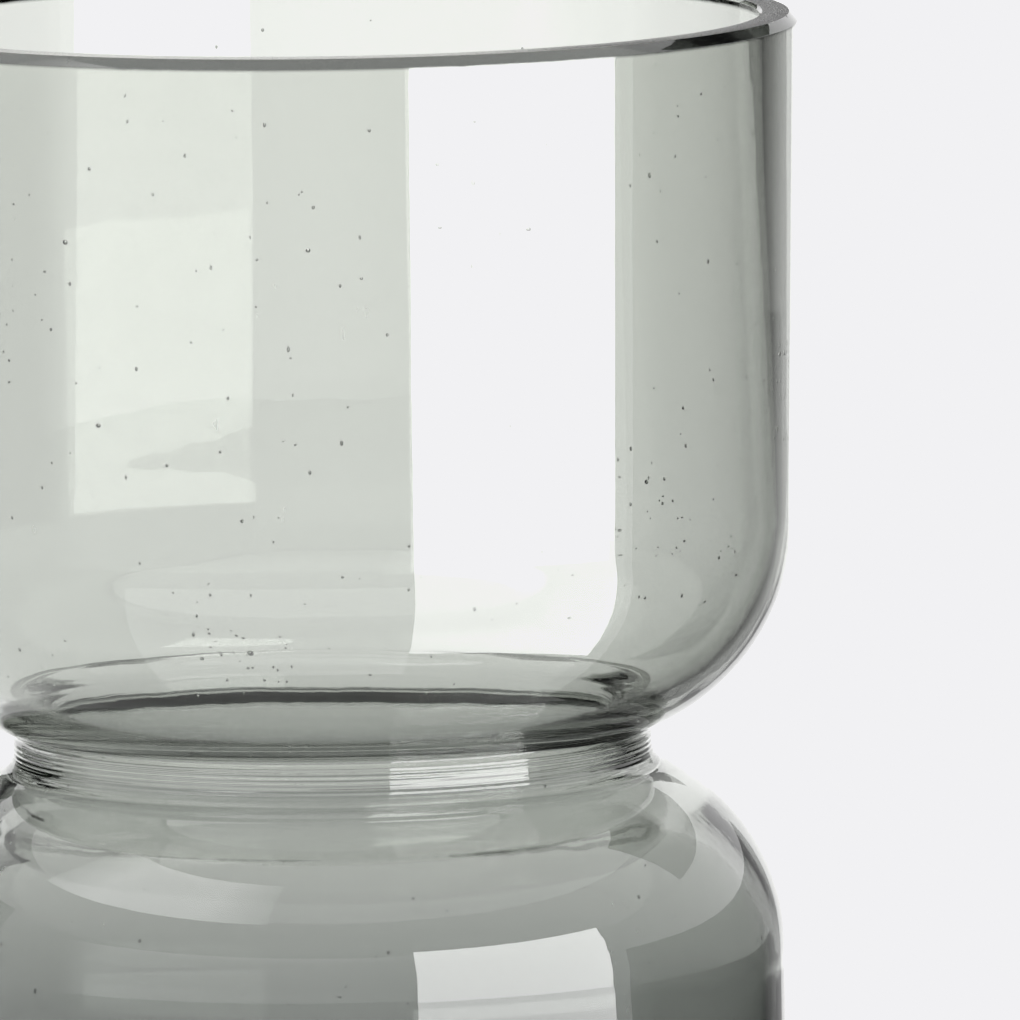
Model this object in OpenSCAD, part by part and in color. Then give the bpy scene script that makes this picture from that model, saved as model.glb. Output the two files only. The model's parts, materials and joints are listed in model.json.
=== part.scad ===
// Two-chamber glass vase: an open bowl on a closed body, drawn in to a tight open waist between them.
// The glass is one blown piece. It stands on four clear bumper pads.
// Origin: centre of the pads' resting plane, +Z up the vase's axis. Millimetres.

/* [Overall] */
// Height from the table to the ground rim
total_h = 250; // [225:1:275]
// Height of the waist's narrowest point above the table
waist_z = 135; // [128:1:140]

/* [Bowl] */
// Outside diameter at the rim
rim_d = 150; // [149:0.5:152]
// Outside diameter where the bowl starts to round in
bowl_d = 147; // [145:0.5:148]
// Outside radius of the bowl's rounded foot
bowl_round = 35.3; // [34:0.1:37]
// Glass thickness at the rim
rim_wall = 6; // [4:0.1:7]
// Glass thickness low on the bowl, where the blown glass is thinnest
bowl_wall = 2.8; // [2:0.1:4]
// Inside radius of the bowl's rounded foot
bowl_inner_round = 31.6; // [30:0.1:33]
// Width of the ground bevel outside the rim
rim_bevel_w = 1.3; // [0.5:0.1:2]
// Height of the ground bevel outside the rim
rim_bevel_h = 1.5; // [0.5:0.1:2]
// Size of the small bevel inside the rim
rim_inner_bevel = 0.5; // [0.2:0.1:1]

/* [Waist] */
// Outside diameter of the waist
waist_d = 101.2; // [98:0.2:104]
// Glass thickness at the waist
waist_wall = 5; // [4:0.1:6]
// Height of the straight stretch of the groove
groove_h = 1.9; // [1:0.1:3]
// Radius of the groove's upper corner, under the bowl
groove_top_round = 1.7; // [1:0.1:3]
// Radius of the groove's lower corner, over the shoulder
groove_bottom_round = 3.7; // [2:0.1:5]
// Height of the straight stretch inside the throat
throat_h = 3.8; // [2:0.1:5]
// How far the throat's middle sits below the waist's narrowest point outside
throat_drop = 1.6; // [0:0.1:2]
// Radius of the throat's upper lip, in the bowl's floor
throat_top_round = 5.4; // [4:0.1:6]
// Radius of the throat's lower lip, in the body's roof
throat_bottom_round = 3.8; // [3:0.1:5]

/* [Body] */
// Outside diameter of the lower body
body_d = 142.6; // [140:0.2:145]
// Outside radius of the shoulder
shoulder_round = 31.6; // [30:0.1:33]
// Inside radius of the shoulder
shoulder_inner_round = 28; // [26:0.5:29]
// Slope of the body's roof round the throat, in degrees
roof_slope = 34; // [30:1:36]
// Glass thickness just below the shoulder
body_wall = 2; // [1.6:0.1:3]
// Glass thickness just above the base
foot_wall = 4.5; // [3:0.1:6]
// Outside radius of the heel
heel_round = 12; // [8:0.5:16]
// Inside radius of the heel
heel_inner_round = 14; // [8:0.5:18]
// Thickness of the glass base
base_t = 11; // [8:0.5:14]
// Diameter of the hollow under the base
punt_d = 88; // [70:1:90]
// Depth of the hollow under the base
punt_depth = 1.8; // [1:0.1:3]

/* [Bumper pads] */
// Diameter of one pad
pad_d = 10; // [8:0.5:12]
// Height of one pad
pad_h = 2; // [1.5:0.1:3]
// Radius of a pad's lower edge
pad_round = 1.2; // [0.5:0.1:1.4]
// Distance from the axis to a pad's centre
pad_place_r = 52; // [50:0.5:53]

/* [Hidden] */
$fn = 180;
PAD_COUNT = 4;
PAD_NAMES = [for (i = [1 : PAD_COUNT]) str("base_pad_", i)];

GLASS = [0.55, 0.58, 0.56, 0.6];
PAD_CLEAR = [0.86, 0.88, 0.87, 0.8];
// Most degrees that one short side of a round stretch covers
ARC_STEP = 3;

rim_r = rim_d / 2;
bore_r = rim_r - rim_wall;
waist_r = waist_d / 2;
body_r = body_d / 2;
punt_r = punt_d / 2;
pad_r = pad_d / 2;
foot_z = pad_h;
// Radius of the sphere whose cap is the hollow under the base
punt_ball_r = (punt_r * punt_r + punt_depth * punt_depth) / (2 * punt_depth);

function reversed(points) = [for (i = [len(points) - 1 : -1 : 0]) points[i]];

// Points along a round stretch, from one angle to another
function arc(centre, round, from, to) =
    let (steps = ceil(abs(to - from) / ARC_STEP))
    [
        for (i = [0 : steps])
            let (a = from + (to - from) * i / steps)
            centre + round * [cos(a), sin(a)]
    ];

// Direction in which a straight side faces when it touches a round above it and one below it
function side_facing(upper, upper_round, lower, lower_round) =
    let (d = upper - lower)
    atan2(d[1], d[0]) - acos((lower_round - upper_round) / norm(d));

// Slope of the glass between a waist corner and the bowl's or the body's round, and the height between
// their centres. Without a slope the two rounds touch; with one, a straight stretch joins them.
function joining(offset, rounds, slope) =
    let (tilt = slope > 0 ? slope : asin(offset / rounds))
    [tilt, (rounds - offset * sin(tilt)) / cos(tilt)];

// Outline of one skin of the glass, from the rim down to the axis at the base: a bowl with a round
// foot, a waist with two rounded corners, a roof, a shoulder and a heel, each tangent to the next
function skin(
    top, bowl, bowl_foot, waist, middle, straight, corners, roof, body, shoulder, foot, heel, bottom
) =
    let (
        corner_up = [waist + corners[0], middle + straight / 2],
        corner_down = [waist + corners[1], middle - straight / 2],
        bowl_x = bowl - bowl_foot,
        body_x = body - shoulder,
        above = joining(corner_up[0] - bowl_x, bowl_foot + corners[0], 0),
        below = joining(corner_down[0] - body_x, shoulder + corners[1], roof),
        bowl_c = [bowl_x, corner_up[1] + above[1]],
        body_c = [body_x, corner_down[1] - below[1]],
        heel_c = [foot - heel, bottom + heel],
        under_bowl = above[0] - 90,
        over_body = 90 - below[0],
        bowl_side = side_facing(top, 0, bowl_c, bowl_foot),
        body_side = side_facing(body_c, shoulder, heel_c, heel)
    )
    concat(
        [top],
        arc(bowl_c, bowl_foot, bowl_side, under_bowl),
        arc(corner_up, corners[0], under_bowl + 180, 180),
        arc(corner_down, corners[1], 180, over_body + 180),
        arc(body_c, shoulder, over_body, body_side),
        arc(heel_c, heel, body_side, -90),
        [[0, bottom]]
    );

outer_skin = skin(
    top = [rim_r, total_h - rim_bevel_h],
    bowl = bowl_d / 2, bowl_foot = bowl_round,
    waist = waist_r, middle = waist_z,
    straight = groove_h, corners = [groove_top_round, groove_bottom_round],
    roof = 0, body = body_r, shoulder = shoulder_round,
    foot = body_r, heel = heel_round, bottom = foot_z
);

inner_skin = skin(
    top = [bore_r, total_h - rim_inner_bevel],
    bowl = bowl_d / 2 - bowl_wall, bowl_foot = bowl_inner_round,
    waist = waist_r - waist_wall, middle = waist_z - throat_drop,
    straight = throat_h, corners = [throat_top_round, throat_bottom_round],
    roof = roof_slope, body = body_r - body_wall, shoulder = shoulder_inner_round,
    foot = body_r - foot_wall, heel = heel_inner_round, bottom = foot_z + base_t
);

ground_rim = [
    [bore_r + rim_inner_bevel, total_h],
    [rim_r - rim_bevel_w, total_h]
];

module vessel() {
    color(GLASS)
    difference() {
        rotate_extrude() polygon(concat(ground_rim, outer_skin, reversed(inner_skin)));
        translate([0, 0, foot_z + punt_depth - punt_ball_r]) sphere(punt_ball_r);
    }
}

// One clear pad with a rounded lower edge
module pad_shape() {
    rotate_extrude()
    polygon(concat(
        [[0, pad_h], [0, 0]],
        arc([pad_r - pad_round, pad_round], pad_round, -90, 0),
        [[pad_r, pad_h]]
    ));
}

// The pads stick to the flat ring round the hollow under the base
module base_pad(i) {
    color(PAD_CLEAR)
    rotate(45 + (i - 1) * 360 / PAD_COUNT)
    translate([pad_place_r, 0, 0])
    pad_shape();
}

vessel();
for (i = [1 : PAD_COUNT])
    base_pad(i);
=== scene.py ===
"""Looks of a two-chamber smoke-grey blown glass vase on four clear bumper pads."""

import json
import math
import random

import bmesh
import bpy
from mathutils import Matrix, Quaternion, Vector, noise


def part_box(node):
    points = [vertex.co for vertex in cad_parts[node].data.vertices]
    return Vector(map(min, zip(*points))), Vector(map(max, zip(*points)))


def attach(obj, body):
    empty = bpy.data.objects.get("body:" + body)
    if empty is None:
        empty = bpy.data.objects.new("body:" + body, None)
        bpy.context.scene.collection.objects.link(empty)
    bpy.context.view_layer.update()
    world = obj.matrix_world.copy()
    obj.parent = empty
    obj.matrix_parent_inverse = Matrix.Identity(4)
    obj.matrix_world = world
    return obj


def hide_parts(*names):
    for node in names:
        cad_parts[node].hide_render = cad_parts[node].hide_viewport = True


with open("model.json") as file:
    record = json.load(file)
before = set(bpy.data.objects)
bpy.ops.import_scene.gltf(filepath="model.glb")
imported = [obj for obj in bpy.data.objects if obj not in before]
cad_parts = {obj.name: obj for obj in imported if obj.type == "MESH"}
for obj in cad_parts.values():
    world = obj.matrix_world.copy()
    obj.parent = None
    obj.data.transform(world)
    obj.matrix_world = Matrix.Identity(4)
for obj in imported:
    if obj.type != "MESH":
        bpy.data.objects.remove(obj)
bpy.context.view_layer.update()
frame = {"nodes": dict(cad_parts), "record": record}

MM = 0.001
SCENE = bpy.context.scene
RNG = random.Random(189)


def mount(name):
    """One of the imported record's mounts."""
    return next(m for m in frame["record"]["mounts"] if m["name"] == name)


# ---------------------------------------------------------------- sizes, in metres
# What the frame gives
GLASS_LOW, GLASS_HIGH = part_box("vessel")
RIM_Z = GLASS_HIGH.z
RIM_R = GLASS_HIGH.x
FOOT_Z = GLASS_LOW.z
THROAT = mount("throat")
THROAT_R = THROAT["dims"]["r_mm"] * MM
THROAT_Z = THROAT["pos_m"][2]
THROAT_H = THROAT["dims"]["length_mm"] * MM

# The part's other sizes
WAIST_Z = 135 * MM
RIM_WALL = 6.0 * MM
RIM_BEVEL_W = 1.3 * MM
RIM_BEVEL_H = 1.5 * MM
RIM_INNER_BEVEL = 0.5 * MM
BOWL_R = 73.5 * MM
BOWL_WALL = 2.8 * MM
BOWL_ROUND = 35.3 * MM
BOWL_INNER_ROUND = 31.6 * MM
WAIST_R = 50.6 * MM
GROOVE_H = 1.9 * MM
GROOVE_TOP_ROUND = 1.7 * MM
GROOVE_BOTTOM_ROUND = 3.7 * MM
THROAT_TOP_ROUND = 5.4 * MM
THROAT_BOTTOM_ROUND = 3.8 * MM
ROOF_SLOPE = math.radians(34)
BODY_R = 71.3 * MM
BODY_WALL = 2.0 * MM
FOOT_WALL = 4.5 * MM
SHOULDER_ROUND = 31.6 * MM
SHOULDER_INNER_ROUND = 28.0 * MM
HEEL_ROUND = 12.0 * MM
HEEL_INNER_ROUND = 14.0 * MM
BASE_T = 11.0 * MM
PUNT_R = 44.0 * MM
PUNT_DEPTH = 1.8 * MM
PAD_FOOT_ROUND = 1.2 * MM

BORE_R = RIM_R - RIM_WALL
BEVEL_Z = RIM_Z - RIM_BEVEL_H

# How finely the glass is divided
SEGMENTS = 192
ARC_STEP = math.radians(3)
CORNER_STEP = math.radians(6)
STRAIGHT_STEP = 4.0 * MM
PUNT_STEPS = 12
ON_AXIS = 1e-7

# The ground rim's edges, and how close to a size a point counts as being on it
EDGE_ROUND = 0.12 * MM
EDGE_STEPS = 3
GROUND_SLACK = 0.05 * MM
BEVEL_SLACK = 0.02 * MM

# How far blowing left the skins from true, and over what lengths. The rim and the base's middle are true.
# Each skin has a noise of its own, and a FRACTAL holds a noise's falloff, its step in scale and its octaves.
OUTER_WAVE = 0.020 * MM
INNER_WAVE = 0.090 * MM
WAVE_ROUND = 26 * MM
WAVE_TALL = 60 * MM
WAVES_APART = 7
WAVE_FRACTAL = (1, 2, 3)
RIM_FADE = 12 * MM
TRUE_MIDDLE_R = 1 * MM

# Rings that the jacks left in the waist, deepest at the front
RING_PITCH = 0.85 * MM
RING_DEPTH = 0.10 * MM
RING_BACK_SHARE = 0.15
RING_MEAN = 0.65
RING_SPREAD = 0.7
RING_PATCHES = 1.5
RING_LOW = WAIST_Z - 3.6 * MM
RING_HIGH = WAIST_Z + 2.0 * MM
RING_FADE = 1 * MM
RING_CHANGE = 1.3 * MM
RING_STEP = 0.12 * MM

# Small chips along the lower edge of the ground bevel, from a ring cut through a noise at CHIP_LEVEL
CHIP_DEPTH = 0.14 * MM
CHIP_REACH = 0.5 * MM
CHIP_BAND = 0.3 * MM
CHIPS_PER_RADIUS = 30
CHIP_LEVEL = 0.3
CHIP_FRACTAL = (0.6, 2, 3)

# Seeds, the small closed bubbles in the wall. Heights are shares of the glass's height
SEED_COUNT = 620
SEED_SIZES = (0.28 * MM, 0.55 * MM)
SEED_STRETCH = (0.8, 1.7)
SEED_SKIN = 0.3 * MM
SEED_HEIGHTS = (0.12, 0.98)
SEED_HIGHEST = 0.985
FLURRY_COUNT = 9
FLURRY_HEIGHTS = (0.3, 0.95)
FLURRY_ANGLE_SPREAD = 0.10
FLURRY_HEIGHT_SPREAD = 0.03
IN_FLURRY_EVERY = 3
DOUBLE_SIZE_EVERY = 23

# A pad's moulded edge and its film of adhesive
PAD_SEGMENTS = 72
PAD_ARC_STEP = math.radians(12)
PAD_TAPER = 0.05 * MM
PAD_EDGE = 0.1 * MM
FILM_T = 0.12 * MM
FILM_INSET = 0.35 * MM
FILM_GAP = 0.02 * MM


# ---------------------------------------------------------------- outlines
def arc(centre, radius, start, end, step=ARC_STEP):
    """Points along a round stretch, from one angle to another."""
    count = max(2, math.ceil(abs(end - start) / step))
    angles = [start + (end - start) * i / count for i in range(count + 1)]
    return [(centre[0] + radius * math.cos(a), centre[1] + radius * math.sin(a)) for a in angles]


def side_facing(upper, upper_round, lower, lower_round):
    """Direction in which a straight side faces when it touches a round above it and one below it."""
    dx, dz = upper[0] - lower[0], upper[1] - lower[1]
    return math.atan2(dz, dx) - math.acos((lower_round - upper_round) / math.hypot(dx, dz))


def joining(offset, rounds, slope):
    """Slope of the glass between a waist corner and the round that it leads to, and the rise between their
    centres. Without a slope the two rounds touch; with one, a straight stretch joins them."""
    slope = slope or math.asin(offset / rounds)
    return slope, (rounds - offset * math.sin(slope)) / math.cos(slope)


def skin(
    top, bowl, bowl_foot, waist, waist_z, straight, corners, roof_slope, body, shoulder, foot, heel, bottom
):
    """Outline of one skin of the glass, from the rim down to the foot of its heel."""
    up = (waist + corners[0], waist_z + straight / 2)
    down = (waist + corners[1], waist_z - straight / 2)
    bowl_x, body_x = bowl - bowl_foot, body - shoulder
    floor, rise = joining(up[0] - bowl_x, bowl_foot + corners[0], 0)
    roof, drop = joining(down[0] - body_x, shoulder + corners[1], roof_slope)
    bowl_c, body_c = (bowl_x, up[1] + rise), (body_x, down[1] - drop)
    heel_c = (foot - heel, bottom + heel)
    under_bowl, over_body = floor - math.pi / 2, math.pi / 2 - roof
    bowl_side = side_facing(top, 0, bowl_c, bowl_foot)
    body_side = side_facing(body_c, shoulder, heel_c, heel)
    return [
        top,
        *arc(bowl_c, bowl_foot, bowl_side, under_bowl),
        *arc(up, corners[0], under_bowl + math.pi, math.pi, CORNER_STEP),
        *arc(down, corners[1], math.pi, over_body + math.pi, CORNER_STEP),
        *arc(body_c, shoulder, over_body, body_side),
        *arc(heel_c, heel, body_side, -math.pi / 2, CORNER_STEP),
    ]


def rounded(points, radius):
    """The open outline with each inner corner rounded."""
    out = [points[0]]
    for before, corner, after in zip(points, points[1:], points[2:]):
        b, c, a = Vector(before), Vector(corner), Vector(after)
        into, away = (b - c).normalized(), (a - c).normalized()
        half = into.angle(away) / 2
        reach = radius / math.tan(half)
        centre = c + (into + away).normalized() * radius / math.sin(half)
        first, last = c + into * reach - centre, c + away * reach - centre
        turn = first.angle_signed(last)
        for i in range(EDGE_STEPS + 1):
            out.append(tuple(centre + Matrix.Rotation(-turn * i / EDGE_STEPS, 2) @ first))
    out.append(points[-1])
    return out


def between(start, end, share):
    """The point at a share of the way from one point to another."""
    return tuple(a + (b - a) * share for a, b in zip(start, end))


def beyond(start, towards, distance):
    """The point at a distance from one point on the way to another."""
    return between(start, towards, distance / math.dist(start, towards))


def refined(points):
    """The outline with extra points where two neighbours are far apart, and finely along the jacks' rings."""
    mid_wall = (THROAT_R + WAIST_R) / 2
    out = [points[0]]
    for a, b in zip(points, points[1:]):
        in_rings = a[0] > mid_wall and RING_LOW <= (a[1] + b[1]) / 2 <= RING_HIGH
        count = max(1, math.ceil(math.dist(a, b) / (RING_STEP if in_rings else STRAIGHT_STEP)))
        out += [between(a, b, i / count) for i in range(1, count + 1)]
    return out


OUTER = skin(
    top=(RIM_R, BEVEL_Z),
    bowl=BOWL_R, bowl_foot=BOWL_ROUND,
    waist=WAIST_R, waist_z=WAIST_Z, straight=GROOVE_H, corners=(GROOVE_TOP_ROUND, GROOVE_BOTTOM_ROUND),
    roof_slope=0, body=BODY_R, shoulder=SHOULDER_ROUND,
    foot=BODY_R, heel=HEEL_ROUND, bottom=FOOT_Z,
)
INNER = skin(
    top=(BORE_R, RIM_Z - RIM_INNER_BEVEL),
    bowl=BOWL_R - BOWL_WALL, bowl_foot=BOWL_INNER_ROUND,
    waist=THROAT_R, waist_z=THROAT_Z, straight=THROAT_H, corners=(THROAT_TOP_ROUND, THROAT_BOTTOM_ROUND),
    roof_slope=ROOF_SLOPE, body=BODY_R - BODY_WALL, shoulder=SHOULDER_INNER_ROUND,
    foot=BODY_R - FOOT_WALL, heel=HEEL_INNER_ROUND, bottom=FOOT_Z + BASE_T,
)


def radius_at(outline, z):
    """Radius of a skin at a height."""
    for (r1, z1), (r2, z2) in zip(outline, outline[1:]):
        if z2 <= z <= z1 and z1 > z2:
            return r1 + (r2 - r1) * (z1 - z) / (z1 - z2)
    return outline[-1][0]


def smooth_step(start, end, value):
    """0 up to the start, 1 from the end on, and an even curve between them."""
    t = min(1, max(0, (value - start) / (end - start)))
    return t * t * (3 - 2 * t)


# ---------------------------------------------------------------- meshes
def lathe(mesh, outline, segments, shape=None):
    """Adds a turned solid to the mesh. The outline runs from the axis to the axis, anticlockwise."""
    rings = []
    for index, (r, z) in enumerate(outline):
        if r < ON_AXIS:
            rings.append([mesh.verts.new((0, 0, z))])
            continue
        ring = []
        for i in range(segments):
            a = math.tau * i / segments
            dr, dz = shape(index, a, r, z) if shape else (0, 0)
            ring.append(mesh.verts.new(((r + dr) * math.cos(a), (r + dr) * math.sin(a), z + dz)))
        rings.append(ring)
    for low, high in zip(rings, rings[1:]):
        for i in range(segments):
            j = (i + 1) % segments
            corners = [low[i % len(low)], low[j % len(low)], high[j % len(high)], high[i % len(high)]]
            mesh.faces.new(list(dict.fromkeys(corners)))
    bmesh.ops.recalc_face_normals(mesh, faces=mesh.faces)
    return rings


def finished(name, mesh, material, smooth=True):
    """A Blender object made from the mesh."""
    data = bpy.data.meshes.new(name)
    mesh.to_mesh(data)
    mesh.free()
    data.materials.append(material)
    if smooth:
        data.shade_smooth()
    else:
        data.shade_flat()
    piece = bpy.data.objects.new(name, data)
    SCENE.collection.objects.link(piece)
    return piece


# ---------------------------------------------------------------- materials
# Tint of one face of the glass, by its share of the way from the body up to the rim
TINT_LOW_Z = WAIST_Z - 45 * MM
SMOKE_TINTS = [
    (0.0, (0.335, 0.35, 0.335, 1)),
    (0.16, (0.52, 0.535, 0.515, 1)),
    (0.29, (0.63, 0.645, 0.62, 1)),
    (0.45, (0.69, 0.705, 0.68, 1)),
    (1.0, (0.745, 0.76, 0.73, 1)),
]
RIM_SATIN_TINT = (0.62, 0.59, 0.55, 1)
# Near-black painted shade on the ground rim's polished bevels. It stands in for the dark seen through them
# and is not the glass's colour.
RIM_BEVEL_PAINTED_SHADE = (0.03, 0.032, 0.03, 1)
SMOKE_DEPTH_TINT = (0.15, 0.19, 0.12, 1)
SMOKE_DENSITY = 18
GLASS_IOR = 1.5
PAD_IOR = 1.48
PAD_TINT = (0.93, 0.95, 0.94, 1)
PAD_CLEARNESS = 0.9
WHITE = (1, 1, 1, 1)

# Relief of the streaks and of the satin grinding on the glass, and of the dust on a pad
STREAK_RELIEF = 0.007 * MM
SATIN_RELIEF = 0.03 * MM
DUST_RELIEF = 0.03 * MM


class Shader:
    """A node material that is being built."""

    def __init__(self, name):
        self.material = bpy.data.materials.new(name)
        self.material.use_nodes = True
        self.nodes = self.material.node_tree.nodes
        self.links = self.material.node_tree.links
        self.nodes.clear()

    def add(self, kind, inputs=None, **settings):
        """A new node. Each of its inputs is another node's output to link, or a constant to set."""
        node = self.nodes.new(kind)
        for setting, value in settings.items():
            setattr(node, setting, value)
        for name, value in (inputs or {}).items():
            if isinstance(value, bpy.types.NodeSocket):
                self.links.new(value, node.inputs[name])
            else:
                node.inputs[name].default_value = value
        return node

    def own_place(self):
        """The object's own coordinates."""
        return self.add("ShaderNodeTexCoord").outputs["Object"]

    def stored(self, name):
        """A value that is stored in the mesh."""
        return self.add("ShaderNodeAttribute", attribute_name=name).outputs["Fac"]

    def ranged(self, value, start, end, low=0.0, high=1.0, **settings):
        """The value brought from one range to another, and kept inside it."""
        inputs = {"Value": value, "From Min": start, "From Max": end, "To Min": low, "To Max": high}
        return self.add("ShaderNodeMapRange", inputs, **settings).outputs["Result"]

    def speckle(self, place, squeeze, scale, detail):
        """Noise over the coordinates, which is drawn out along those that are squeezed."""
        spot = self.add("ShaderNodeMapping", {"Vector": place, "Scale": squeeze}).outputs["Vector"]
        inputs = {"Vector": spot, "Scale": scale, "Detail": detail}
        return self.add("ShaderNodeTexNoise", inputs).outputs["Fac"]

    def combined(self, operation, one, two, **settings):
        """The result of one operation on two values."""
        return self.add("ShaderNodeMath", {0: one, 1: two}, operation=operation, **settings).outputs["Value"]

    def mixed(self, share, one, two):
        """A colour between two others."""
        inputs = {"Factor": share, "A": one, "B": two}
        return self.add("ShaderNodeMix", inputs, data_type="RGBA").outputs["Result"]

    def bumped(self, height, distance, under=None):
        """The surface's direction with a relief, over another relief where that is given."""
        node = self.add("ShaderNodeBump", {"Height": height, "Distance": distance})
        if under:
            self.links.new(under, node.inputs["Normal"])
        return node.outputs["Normal"]

    def glow(self, strength):
        """An emission shader's output."""
        return self.add("ShaderNodeEmission", {"Color": WHITE, "Strength": strength}).outputs["Emission"]

    def done(self, **outputs):
        """The material, with its surface and its volume."""
        self.add("ShaderNodeOutputMaterial", outputs)
        return self.material


def smoke_tint(shader, place):
    """The smoke grey of the glass's faces, paler towards the rim."""
    z = shader.add("ShaderNodeSeparateXYZ", {"Vector": place}).outputs["Z"]
    tint = shader.add("ShaderNodeValToRGB", {"Fac": shader.ranged(z, TINT_LOW_Z, RIM_Z)})
    first, last = tint.color_ramp.elements
    first.color = SMOKE_TINTS[0][1]
    last.color = SMOKE_TINTS[-1][1]
    for share, colour in SMOKE_TINTS[1:-1]:
        tint.color_ramp.elements.new(share).color = colour
    return tint.outputs["Color"]


def smoke_glass():
    """Clear smoke grey, deeper towards the foot, with faint streaks, scuffs and a ground rim that is satin on
    top and polished on its bevels, and a near-black painted shade on those bevels."""
    shader = Shader("smoke_glass")
    place = shader.own_place()
    ground, bevel = shader.stored("ground"), shader.stored("bevel")
    # The rim's satin top keeps its own tint, and its bevels get the near-black painted shade.
    rim_tint_and_bevel_shade = shader.mixed(bevel, RIM_SATIN_TINT, RIM_BEVEL_PAINTED_SHADE)

    scuffs = shader.combined(
        "MULTIPLY",
        shader.ranged(shader.speckle(place, (1, 1, 0.25), 900, 3), 0.66, 0.74),
        shader.ranged(shader.speckle(place, (1, 1, 0.6), 34, 2), 0.60, 0.68, 0, 0.35),
    )
    grit = shader.speckle(place, (1, 1, 1), 2500, 2)
    satin = shader.combined("SUBTRACT", ground, bevel, use_clamp=True)
    frosting = shader.combined("MULTIPLY", satin, shader.ranged(grit, 0.3, 0.7, 0.2, 0.4))

    streaks = shader.bumped(shader.speckle(place, (1, 1, 0.04), 260, 3), STREAK_RELIEF)
    satin_grit = shader.combined("MULTIPLY", grit, satin)

    glass = shader.add("ShaderNodeBsdfPrincipled", {
        "Base Color": shader.mixed(ground, smoke_tint(shader, place), rim_tint_and_bevel_shade),
        "Roughness": shader.combined("MAXIMUM", scuffs, frosting),
        "Normal": shader.bumped(satin_grit, SATIN_RELIEF, streaks),
        "Transmission Weight": 1,
        "IOR": GLASS_IOR,
    })
    depth = shader.add("ShaderNodeVolumeAbsorption", {"Color": SMOKE_DEPTH_TINT, "Density": SMOKE_DENSITY})
    return shader.done(Surface=glass.outputs["BSDF"], Volume=depth.outputs["Volume"])


def clear_pad():
    """Clear moulded polyurethane, dulled by dust."""
    shader = Shader("clear_pad")
    dust = shader.speckle(shader.own_place(), (1, 1, 1), 900, 4)
    pad = shader.add("ShaderNodeBsdfPrincipled", {
        "Base Color": PAD_TINT,
        "Roughness": shader.ranged(dust, 0.35, 0.7, 0.18, 0.38),
        "Normal": shader.bumped(dust, DUST_RELIEF),
        "Transmission Weight": PAD_CLEARNESS,
        "IOR": PAD_IOR,
    })
    return shader.done(Surface=pad.outputs["BSDF"])


# ---------------------------------------------------------------- the glass
def jack_ring(a, z):
    """How far the rings that the jacks left stand out at one place."""
    depth = smooth_step(RING_LOW, RING_LOW + RING_FADE, z) - smooth_step(RING_HIGH - RING_FADE, RING_HIGH, z)
    spot = Vector((math.cos(a) * RING_PATCHES, math.sin(a) * RING_PATCHES, z / RING_CHANGE))
    uneven = RING_MEAN + RING_SPREAD * noise.noise(spot)
    front = (1 - math.sin(a)) / 2
    share = RING_BACK_SHARE + (1 - RING_BACK_SHARE) * front**2
    return RING_DEPTH * depth * share * uneven * math.sin(math.tau * z / RING_PITCH)


def blown(outside, a, r, z):
    """How far a blown skin stands out from true at one place."""
    x, y = r * math.cos(a), r * math.sin(a)
    spot = Vector((x / WAVE_ROUND, y / WAVE_ROUND, z / WAVE_TALL + WAVES_APART * outside))
    wave = noise.fractal(spot, *WAVE_FRACTAL)
    return OUTER_WAVE * wave + jack_ring(a, z) if outside else INNER_WAVE * wave


def worked(outside, a, r, z):
    """How far the glass stands from true at one place, outwards and upwards."""
    if abs(z - BEVEL_Z) < CHIP_BAND and r > RIM_R - CHIP_BAND:
        spot = Vector((math.cos(a), math.sin(a), CHIP_LEVEL)) * CHIPS_PER_RADIUS
        chip = noise.fractal(spot, *CHIP_FRACTAL)
        return 0, -CHIP_DEPTH * max(0, chip)
    if z > BEVEL_Z - CHIP_BAND or r < TRUE_MIDDLE_R:
        return 0, 0
    return blown(outside, a, r, z) * smooth_step(BEVEL_Z, BEVEL_Z - RIM_FADE, z), 0


def vessel_outline():
    """The glass's outline in two stretches: from the axis under the base to the bore's edge at the rim, and
    from there down the inner skin to the axis over the base."""
    rim = rounded(
        [
            OUTER[1],
            (RIM_R, BEVEL_Z),
            (RIM_R - RIM_BEVEL_W, RIM_Z),
            (BORE_R + RIM_INNER_BEVEL, RIM_Z),
            (BORE_R, RIM_Z - RIM_INNER_BEVEL),
            INNER[1],
        ],
        EDGE_ROUND,
    )
    punt_ball = (PUNT_R**2 + PUNT_DEPTH**2) / (2 * PUNT_DEPTH)
    punt_c = (0, FOOT_Z + PUNT_DEPTH - punt_ball)
    half = math.asin(PUNT_R / punt_ball)
    punt = arc(punt_c, punt_ball, math.pi / 2, math.pi / 2 - half, half / PUNT_STEPS)
    below = refined(punt + OUTER[:0:-1])
    above = refined(INNER[1:] + [(0, FOOT_Z + BASE_T)])
    edges = [beyond(rim[1], below[-1], CHIP_REACH), *rim[1:-1], beyond(rim[-2], above[0], CHIP_REACH)]
    return below + refined([below[-1], *edges, above[0]])[1:-1], above


def ball(detail):
    """Points and faces of a ball of radius 1, its faces looking inwards."""
    mesh = bmesh.new()
    bmesh.ops.create_icosphere(mesh, subdivisions=detail, radius=1)
    points = [v.co.copy() for v in mesh.verts]
    faces = [[v.index for v in reversed(f.verts)] for f in mesh.faces]
    mesh.free()
    return points, faces


SMALL_BALL, LARGE_BALL = ball(2), ball(3)


def seed(mesh, place, size, stretch):
    """A closed bubble inside the glass."""
    points, faces = LARGE_BALL if size > SEED_SIZES[1] else SMALL_BALL
    half = Vector((size, size, size * stretch)) / 2
    verts = [mesh.verts.new(place + p * half) for p in points]
    for face in faces:
        mesh.faces.new([verts[i] for i in face])


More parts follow.
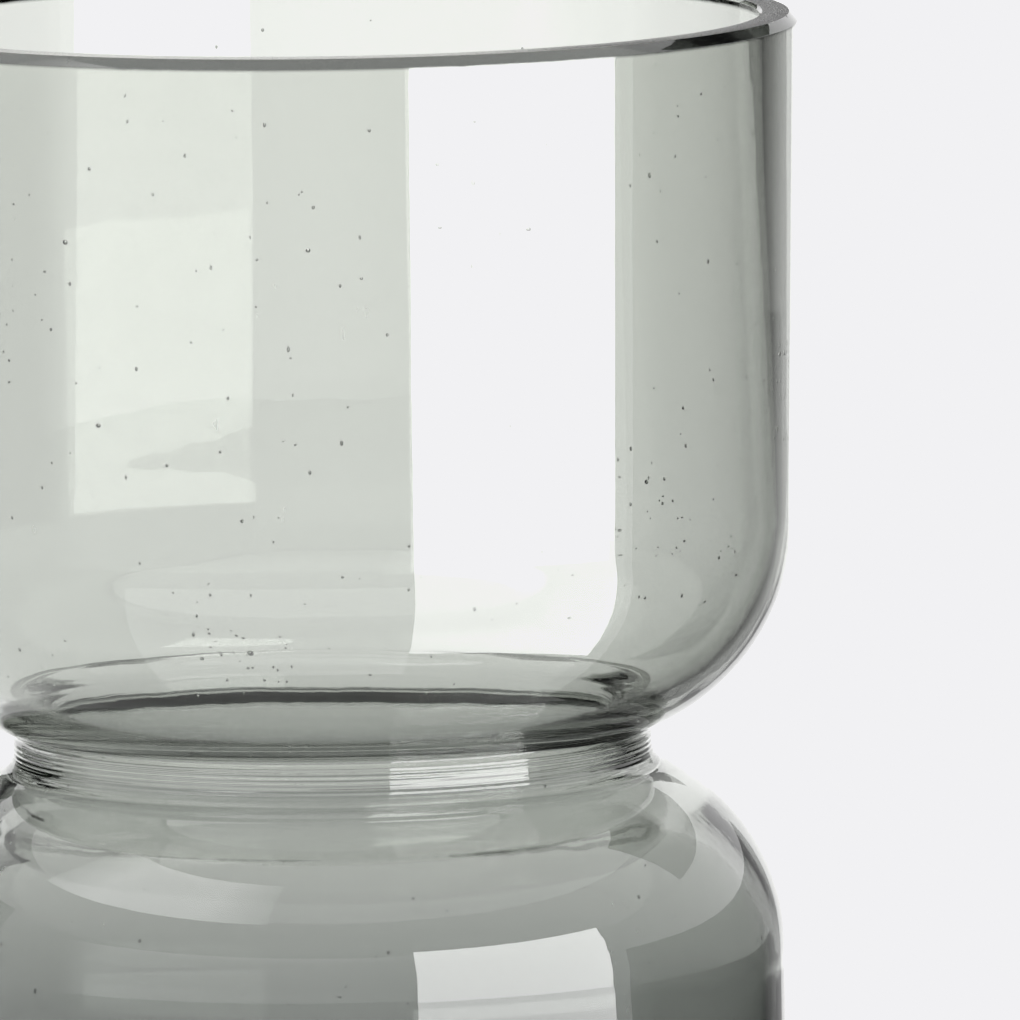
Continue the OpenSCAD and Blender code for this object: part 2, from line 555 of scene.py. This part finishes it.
def seeds():
    """Places, sizes and stretches of the bubbles: everywhere in the wall, and thicker in a few flurries."""
    flurries = [(RNG.uniform(0, math.tau), RNG.uniform(*FLURRY_HEIGHTS)) for _ in range(FLURRY_COUNT)]
    for index in range(SEED_COUNT):
        if index % IN_FLURRY_EVERY == 0:
            a, share = RNG.choice(flurries)
            a += RNG.gauss(0, FLURRY_ANGLE_SPREAD)
            share += RNG.gauss(0, FLURRY_HEIGHT_SPREAD)
        else:
            a, share = RNG.uniform(0, math.tau), RNG.uniform(*SEED_HEIGHTS)
        z = FOOT_Z + min(SEED_HIGHEST, share) * (RIM_Z - FOOT_Z)
        size = RNG.uniform(*SEED_SIZES) * (2 if index % DOUBLE_SIZE_EVERY == 0 else 1)
        outside, inside = radius_at(OUTER, z), radius_at(INNER, z)
        room = max(0, outside - inside - 2 * SEED_SKIN - size)
        r = inside + SEED_SKIN + size / 2 + RNG.random() * room
        yield Vector((r * math.cos(a), r * math.sin(a), z)), size, RNG.uniform(*SEED_STRETCH)


def build_vessel():
    """The glass with its seeds, its ground places and bevels marked for the material."""
    below, above = vessel_outline()

    def shape(index, a, r, z):
        return worked(index < len(below), a, r, z)

    mesh = bmesh.new()
    ground = mesh.verts.layers.float.new("ground")
    bevel = mesh.verts.layers.float.new("bevel")
    for (r, z), ring in zip(below + above, lathe(mesh, below + above, SEGMENTS, shape)):
        on_top = BORE_R + RIM_INNER_BEVEL <= r <= RIM_R - RIM_BEVEL_W
        for vert in ring:
            vert[ground] = float(z > BEVEL_Z - GROUND_SLACK and r > BORE_R + GROUND_SLACK)
            vert[bevel] = float(z < RIM_Z - BEVEL_SLACK and not on_top)
    for place, size, stretch in seeds():
        seed(mesh, place, size, stretch)
    piece = finished("vessel_glass", mesh, smoke_glass())
    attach(piece, "root")
    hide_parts("vessel")


# ---------------------------------------------------------------- the pads
def build_pad(node, material):
    """A clear moulded bumper with a rounded foot, on a slightly smaller film of adhesive."""
    low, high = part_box(node)
    r = (high.x - low.x) / 2
    top = high.z - FILM_T
    film = high.z - FILM_GAP
    mesh = bmesh.new()
    outline = [
        (0, low.z),
        *arc((r - PAD_FOOT_ROUND, low.z + PAD_FOOT_ROUND), PAD_FOOT_ROUND, -math.pi / 2, 0, PAD_ARC_STEP),
        (r - PAD_TAPER, top - PAD_EDGE),
        (r - PAD_TAPER - PAD_EDGE, top),
        (r - FILM_INSET, top),
        (r - FILM_INSET, film),
        (0, film),
    ]
    lathe(mesh, outline, PAD_SEGMENTS)
    bmesh.ops.translate(mesh, verts=mesh.verts, vec=((low.x + high.x) / 2, (low.y + high.y) / 2, 0))
    piece = finished(node.replace("base_pad", "bumper"), mesh, material)
    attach(piece, "root")
    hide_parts(node)


build_vessel()
pad_material = clear_pad()
for node in sorted(n for n in frame["nodes"] if n.startswith("base_pad_")):
    build_pad(node, pad_material)


# ---------------------------------------------------------------- stage and light
PALE = (0.880, 0.880, 0.896)
BRIGHT = 1.25
DARK = 0.02
FLOOR_R = 12
FLOOR_SEGMENTS = 96
SHADE_IN, SHADE_OUT = 0.07, 0.20
SHADE_DEPTH = 0.62
SHEET_STEP = 2
PANEL_CORNER = 0.04
PANEL_ARC_STEP = math.radians(15)
PANEL_Z = 1.05

world = bpy.data.worlds.new("studio")
world.use_nodes = True
world.node_tree.nodes["Background"].inputs["Color"].default_value = WHITE
world.node_tree.nodes["Background"].inputs["Strength"].default_value = BRIGHT
SCENE.world = world


def pale_floor():
    """An evenly lit pale floor, with a soft shade close round the vase."""
    shader = Shader("pale_floor")
    reach = shader.add("ShaderNodeVectorMath", {0: shader.own_place()}, operation="LENGTH").outputs["Value"]
    level = shader.ranged(reach, SHADE_IN, SHADE_OUT, SHADE_DEPTH, BRIGHT, interpolation_type="SMOOTHSTEP")
    return shader.done(Surface=shader.glow(level))


def lamp_face():
    """A glowing or black face whose level is stored in its mesh."""
    shader = Shader("lamp_face")
    return shader.done(Surface=shader.glow(shader.stored("level")))


LAMP = lamp_face()


def build_floor():
    """The floor, a disc so wide that its edge is out of sight."""
    mesh = bmesh.new()
    bmesh.ops.create_circle(mesh, cap_ends=True, segments=FLOOR_SEGMENTS, radius=FLOOR_R)
    finished("floor", mesh, pale_floor(), smooth=False)


def direction(azimuth, elevation=0):
    """Unit vector towards a compass place: 0 is the camera's side, positive to the camera's right."""
    a, e = math.radians(azimuth), math.radians(elevation)
    return Vector((math.sin(a) * math.cos(e), -math.cos(a) * math.cos(e), math.sin(e)))


def unseen(name, mesh, transmission=True, glossy=True):
    """A lamp face or card that only the glass sees."""
    face = finished(name, mesh, LAMP, smooth=False)
    face.visible_camera = False
    face.visible_diffuse = False
    face.visible_shadow = False
    face.visible_transmission = transmission
    face.visible_glossy = glossy


def level_at(levels, azimuth):
    """The level at an azimuth, blended between (azimuth, level) pairs."""
    for (a1, v1), (a2, v2) in zip(levels, levels[1:]):
        if a1 <= azimuth <= a2:
            return v1 + (v2 - v1) * (azimuth - a1) / (a2 - a1)
    return levels[-1][1]


def sheet(name, azimuths, outline, level, **seen_by):
    """A face round the vase: an outline of (distance, height) points swept from one azimuth to another.
    The level is one number, or a list of (azimuth, level) pairs to blend between."""
    start, end = azimuths
    levels = level if isinstance(level, list) else [(start, level), (end, level)]
    mesh = bmesh.new()
    layer = mesh.verts.layers.float.new("level")
    count = max(2, math.ceil((end - start) / SHEET_STEP))
    columns = []
    for i in range(count + 1):
        azimuth = start + (end - start) * i / count
        column = [mesh.verts.new(direction(azimuth) * r + Vector((0, 0, z))) for r, z in outline]
        for vert in column:
            vert[layer] = level_at(levels, azimuth)
        columns.append(column)
    for one, two in zip(columns, columns[1:]):
        for i in range(len(outline) - 1):
            mesh.faces.new([one[i], two[i], two[i + 1], one[i + 1]])
    unseen(name, mesh, **seen_by)


def panel(name, x, y, level, **seen_by):
    """A level lamp face with round corners above the vase. x and y are its edges."""
    mesh = bmesh.new()
    layer = mesh.verts.layers.float.new("level")
    points = []
    for quarter, (cx, cy) in enumerate(((x[1], y[1]), (x[0], y[1]), (x[0], y[0]), (x[1], y[0]))):
        centre = (
            cx - math.copysign(PANEL_CORNER, cx - sum(x) / 2),
            cy - math.copysign(PANEL_CORNER, cy - sum(y) / 2),
        )
        start = quarter * math.pi / 2
        points += arc(centre, PANEL_CORNER, start, start + math.pi / 2, PANEL_ARC_STEP)
    verts = [mesh.verts.new((px, py, PANEL_Z)) for px, py in points]
    for vert in verts:
        vert[layer] = level
    mesh.faces.new(verts)
    unseen(name, mesh, **seen_by)


build_floor()

# The lamps and cards: azimuths in degrees, outlines and edges in metres, and levels. Faces that lie on the
# floor are each at a height of their own, so that no two share a plane.
sheet("softbox", (20, 73), [(1.2, 0.002), (1.2, 0.57)], 11.0, transmission=False)
sheet("softbox_through", (20, 73), [(1.17, 0.003), (1.21, 0.003), (1.21, 0.24)], 7.0, glossy=False)
sheet("softbox_foot", (20, 73), [(0.20, 0.002), (1.2, 0.002)], 8.0, transmission=False)
sheet("fill_left", (-75, 20), [(1.4, 0.002), (1.4, 0.6)], [(-75, 1.2), (-60, 2.3), (0, 2.0), (20, 1.7)])
sheet("overhead_front", (-100, -20), [(0.5, 0.95), (1.1, 0.95)],
      [(-100, 2.5), (-80, 5), (-40, 5), (-20, 2.5)], transmission=False)
sheet("lit_table", (-50, 20), [(0.15, 0.001), (0.7, 0.001)], 2.0, transmission=False)
sheet("overhead", (-180, 180), [(0.02, 1.12), (1.25, 1.12)], 2.0)
panel("overhead_right", (0.05, 0.22), (0.45, 0.80), 7.0)
panel("overhead_left", (-0.36, -0.10), (0.36, 0.66), 3.5, glossy=False)
# Painted shade: this card's stretch along the floor stands in for the table lying in shade and is seen only
# through the glass. Its upright part is a black flag.
sheet("card_right_and_floor_shade", (78, 157), [(0.12, 0.0015), (1.0, 0.0015), (1.0, 0.27)],
      [(78, 0.25), (86, DARK), (138, DARK), (148, 0.38), (157, 0.55)])
sheet("card_rim", (112, 162), [(1.0, 0.56), (1.0, 1.10)], DARK, transmission=False)
sheet("card_rim_end", (162, 178), [(1.0, 0.36), (1.0, 0.80)], 0.25, transmission=False)
sheet("card_back_left", (-172.5, -158), [(1.0, 0.28), (1.0, 0.55)], DARK)
# Painted shade: a dark stretch of floor standing in for the table lying in shade. It is seen only through the
# glass.
sheet("painted_floor_shade_left", (-150, -106), [(0.70, 0.0012), (1.0, 0.0012)], DARK)
sheet("card_left", (-158, -97), [(1.0, 0.0015), (1.0, 0.55)],
      [(-158, 0.5), (-152, DARK), (-108, DARK), (-97, 0.8)])


# ---------------------------------------------------------------- camera
CAMERA_DISTANCE = 3.17
CAMERA_ELEVATION = 7.19
CAMERA_ROLL = math.radians(0.778)
CAMERA_CLIP = (0.1, 40)
SENSOR = 36
LENS = 706
AIM_RIGHT = 28.65 * MM
AIM_UP = 35.90 * MM


def build_camera():
    """The camera, in front of the vase and a little above its rim, aimed right of the waist and above it."""
    data = bpy.data.cameras.new("camera")
    data.sensor_width = SENSOR
    data.lens = LENS
    data.clip_start, data.clip_end = CAMERA_CLIP
    camera = bpy.data.objects.new("camera", data)
    SCENE.collection.objects.link(camera)
    waist = Vector((0, 0, WAIST_Z))
    back = direction(0, CAMERA_ELEVATION)
    side = Vector((1, 0, 0))
    camera.location = waist + back * CAMERA_DISTANCE
    aim = waist + side * AIM_RIGHT + back.cross(side) * AIM_UP
    turn = (aim - camera.location).to_track_quat("-Z", "Y")
    camera.rotation_mode = "QUATERNION"
    camera.rotation_quaternion = turn @ Quaternion((0, 0, 1), -CAMERA_ROLL)
    SCENE.camera = camera


def clip_whites():
    """Like an overexposed studio shot, nothing is brighter than the pale floor."""
    SCENE.view_settings.use_curve_mapping = True
    mapping = SCENE.view_settings.curve_mapping
    mapping.extend = "HORIZONTAL"
    for curve, white in zip(mapping.curves, PALE):
        curve.points[0].location = (0, 0)
        curve.points[1].location = (1, white)
        curve.points.new(white, white)
        for point in curve.points:
            point.handle_type = "VECTOR"
    mapping.update()


build_camera()
SCENE.view_settings.view_transform = "Standard"
clip_whites()
SCENE.cycles.max_bounces = 32
SCENE.cycles.transmission_bounces = 32
SCENE.cycles.glossy_bounces = 16
SCENE.cycles.transparent_max_bounces = 16
SCENE.cycles.blur_glossy = 0
SCENE.cycles.use_denoising = True
